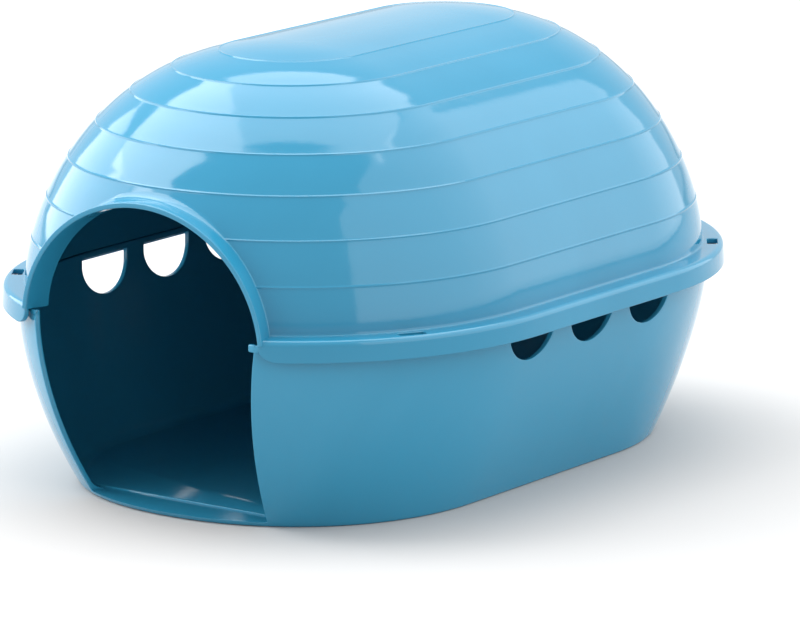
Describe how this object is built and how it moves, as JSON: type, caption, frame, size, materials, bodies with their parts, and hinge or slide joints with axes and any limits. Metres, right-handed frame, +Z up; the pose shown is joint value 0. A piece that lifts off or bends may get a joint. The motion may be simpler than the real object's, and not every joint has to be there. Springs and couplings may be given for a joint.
{
  "type": "small animal house",
  "caption": "Two-part moulded plastic small-animal house: a flat-floored tub with a doorway and side vents, under a ribbed domed lid with an arched collar, that lifts off.",
  "frame": {"origin": "on the surface it stands on, under the middle of the outer box", "axes": "+Z up, +Y from the doorway to the closed back end, +X to the right when facing the doorway's way in"},
  "size_m": [0.22, 0.297, 0.1656],
  "materials": {
    "tub_plastic": "glossy injection-moulded, opaque sky blue",
    "lid_plastic": "glossy injection-moulded, opaque sky blue"
  },
  "bodies": {
    "base": {"tub": "tub_plastic"},
    "cover": {"lid": "lid_plastic"}
  },
  "joints": [
    {"name": "lid_lift", "type": "slide", "parent": "base", "child": "cover", "axis": [0, 0, 1], "range_m": [0, 0.15]}
  ]
}
